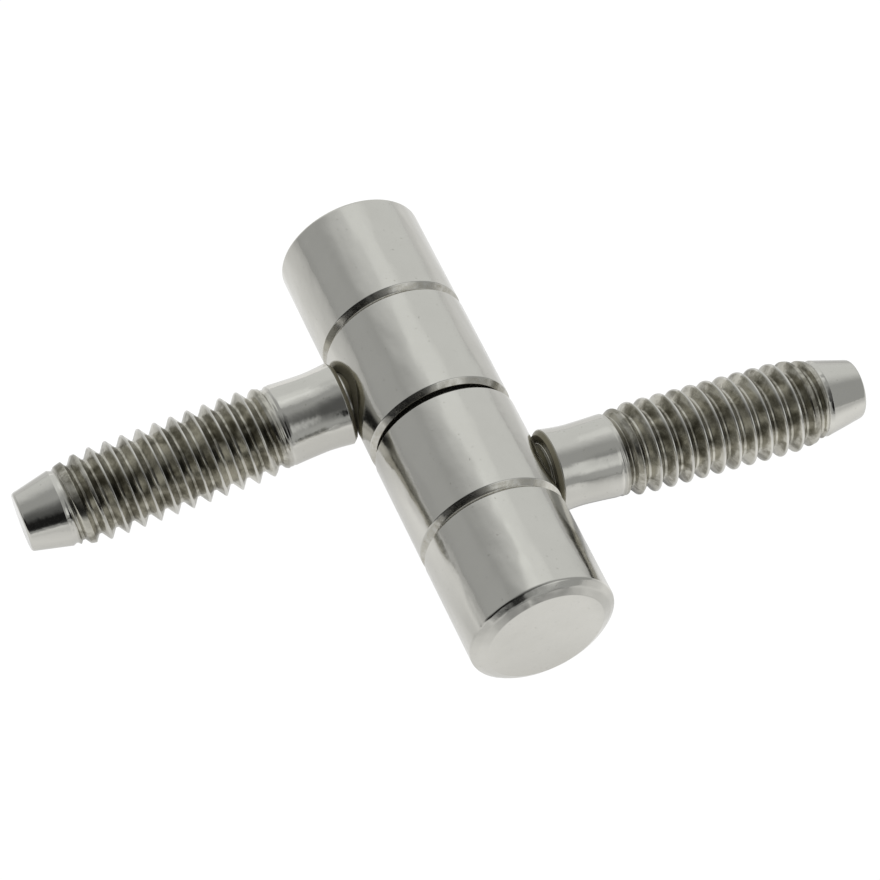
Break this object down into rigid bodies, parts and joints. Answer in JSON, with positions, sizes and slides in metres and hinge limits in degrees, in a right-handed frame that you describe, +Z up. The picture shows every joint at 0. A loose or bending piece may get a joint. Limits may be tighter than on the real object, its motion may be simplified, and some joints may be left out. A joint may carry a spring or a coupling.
{
  "type": "drill in hinge",
  "caption": "Drill-in hinge whose turned barrels swing on a pin and lift apart, each with a threaded stud that screws into the frame or the door.",
  "frame": {"origin": "on the surface the hinge lies on, below the middle of the gap between the barrels", "axes": "+X towards the tip of the frame's stud, +Y along the pin from the frame's barrel to the door's barrel, +Z up"},
  "size_m": [0.0724, 0.045, 0.013],
  "materials": {
    "polished_nickel": "polished nickel plating on turned steel",
    "ground_steel": "ground",
    "black_nylon": "moulded"
  },
  "bodies": {
    "frame_half": {"frame_barrel": "polished_nickel", "frame_stud": "polished_nickel", "hinge_pin": "ground_steel"},
    "washer": {"thrust_washer": "black_nylon"},
    "door_half": {"door_barrel": "polished_nickel", "door_stud": "polished_nickel"}
  },
  "joints": [
    {"name": "swing", "type": "hinge", "parent": "frame_half", "child": "washer", "pos_m": [0, 0, 0.0065], "axis": [0, 1, 0], "continuous": true},
    {"name": "lift_off", "type": "slide", "parent": "washer", "child": "door_half", "axis": [0, 1, 0], "range_m": [0, 0.016]}
  ]
}
